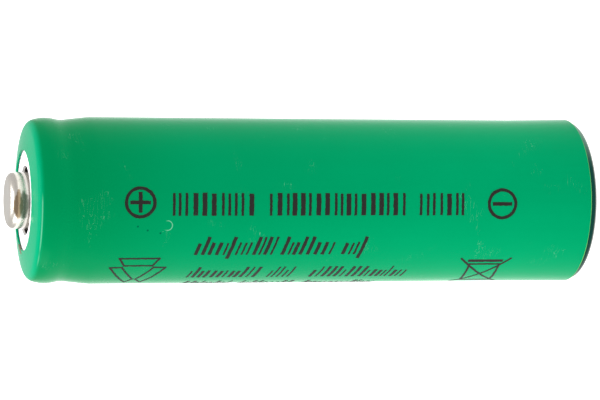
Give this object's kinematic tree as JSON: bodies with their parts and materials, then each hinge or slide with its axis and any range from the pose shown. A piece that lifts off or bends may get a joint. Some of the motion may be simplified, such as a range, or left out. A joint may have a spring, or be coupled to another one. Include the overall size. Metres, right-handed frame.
{
  "type": "cylindrical battery cell",
  "caption": "Round rechargeable battery cell in a green shrink sleeve, with a raised positive button, a flat negative end, a wound electrode roll and a resealing safety vent.",
  "frame": {"origin": "centre of the flat negative face, which the cell stands on", "axes": "+Z along the cell's axis, from the negative face to the positive button; -Y is the side with the printed polarity marks, and the marks read upright with +X up"},
  "size_m": [0.0144, 0.0144, 0.0505],
  "materials": {
    "can_nickel": "satin",
    "green_film": "gloss",
    "print_ink": "matte",
    "white_washer": "matte",
    "lid_nickel": "satin",
    "cap_nickel": "satin",
    "nylon": "satin",
    "sealant": "gloss",
    "vent_rubber": "matte",
    "facing_rubber": "matte",
    "disc_steel": "satin",
    "nickel_paste": "matte",
    "grid_steel": "satin",
    "hydride_alloy": "matte",
    "separator_felt": "matte",
    "tab_nickel": "satin",
    "tab_tape": "gloss",
    "fibre_disc": "matte"
  },
  "bodies": {
    "cell": {"steel_can": "can_nickel", "shrink_sleeve": "green_film", "top_washer": "white_washer", "lid_plate": "lid_nickel", "positive_cap": "cap_nickel", "sealing_gasket": "nylon", "sealant_ring": "sealant", "vent_plug": "vent_rubber", "positive_electrode": "nickel_paste", "negative_grid": "grid_steel", "negative_coat_inner": "hydride_alloy", "negative_coat_outer": "hydride_alloy", "separator_inner": "separator_felt", "separator_outer": "separator_felt", "positive_tab": "tab_nickel", "tab_tape": "tab_tape", "upper_insulator": "fibre_disc", "lower_insulator": "fibre_disc"},
    "vent": {"vent_facing": "facing_rubber", "vent_disc": "disc_steel"}
  },
  "joints": [
    {"name": "vent_lift", "type": "slide", "parent": "cell", "child": "vent", "axis": [0, 0, 1], "range_m": [0, 0.00025], "stiffness_N_per_m": 30000, "springref_m": -0.00013, "deforming": ["vent_plug"]}
  ]
}
